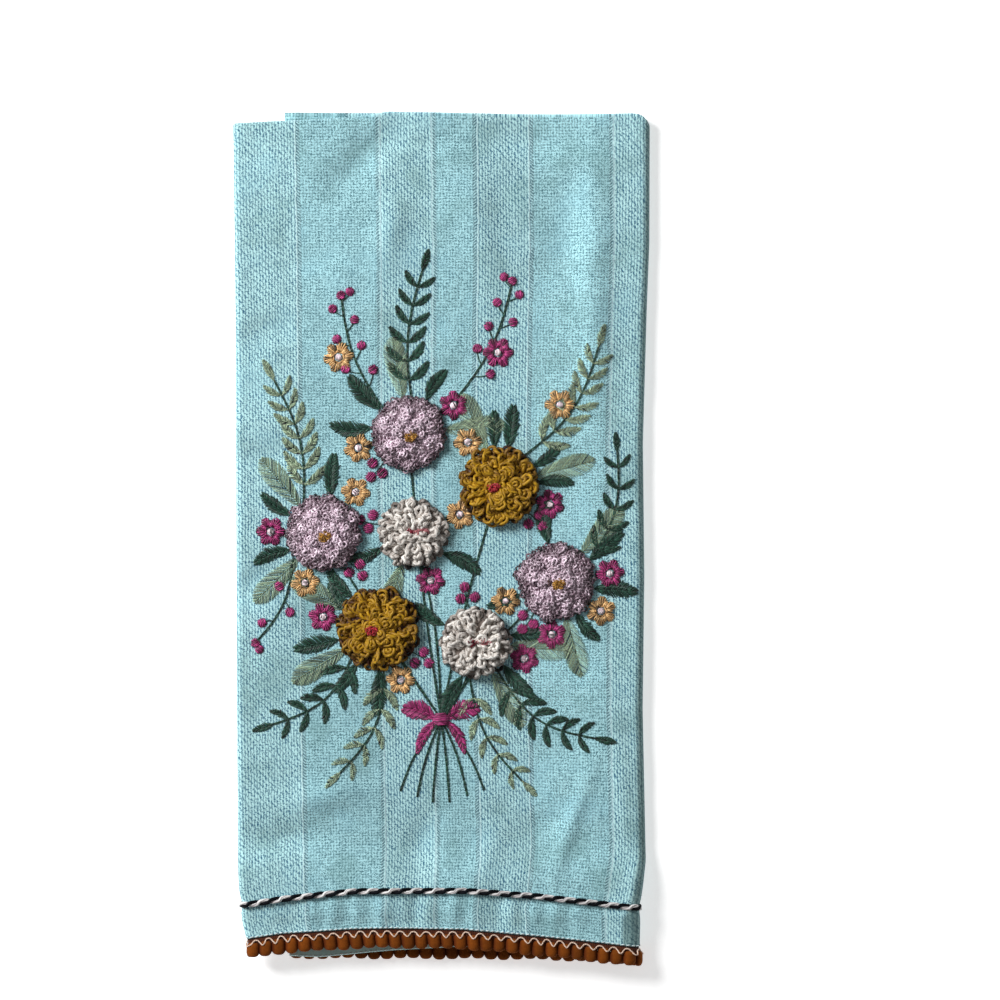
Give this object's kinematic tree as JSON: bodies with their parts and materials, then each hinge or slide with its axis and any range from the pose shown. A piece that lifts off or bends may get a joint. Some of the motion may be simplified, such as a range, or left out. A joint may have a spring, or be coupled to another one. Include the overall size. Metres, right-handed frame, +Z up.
{
  "type": "embroidered dish towel",
  "caption": "Folded rectangular cotton dish towel with a raised floral embroidery on its front, a twisted cord above the hem and a bobble trim along it.",
  "frame": {"origin": "on the table under the middle of the folded pack", "axes": "+X to the right of the embroidered front, +Y from the hems to the fold across, +Z up out of the front"},
  "size_m": [0.1754, 0.3591, 0.0157],
  "materials": {
    "cotton_cloth": "matte",
    "cord_yarn": "matte",
    "trim_velvet": "matte",
    "ochre_yarn": "matte",
    "cream_yarn": "matte",
    "lilac_yarn": "satin",
    "embroidery_thread": "satin"
  },
  "bodies": {
    "root": {"towel_cloth": "cotton_cloth", "twisted_cord": "cord_yarn", "bobble_trim": "trim_velvet", "bloom_ochre_low": "ochre_yarn", "bloom_cream_low": "cream_yarn", "bloom_lilac_right": "lilac_yarn", "bloom_lilac_left": "lilac_yarn", "bloom_cream_middle": "cream_yarn", "bloom_ochre_high": "ochre_yarn", "bloom_lilac_high": "lilac_yarn"}
  },
  "joints": []
}
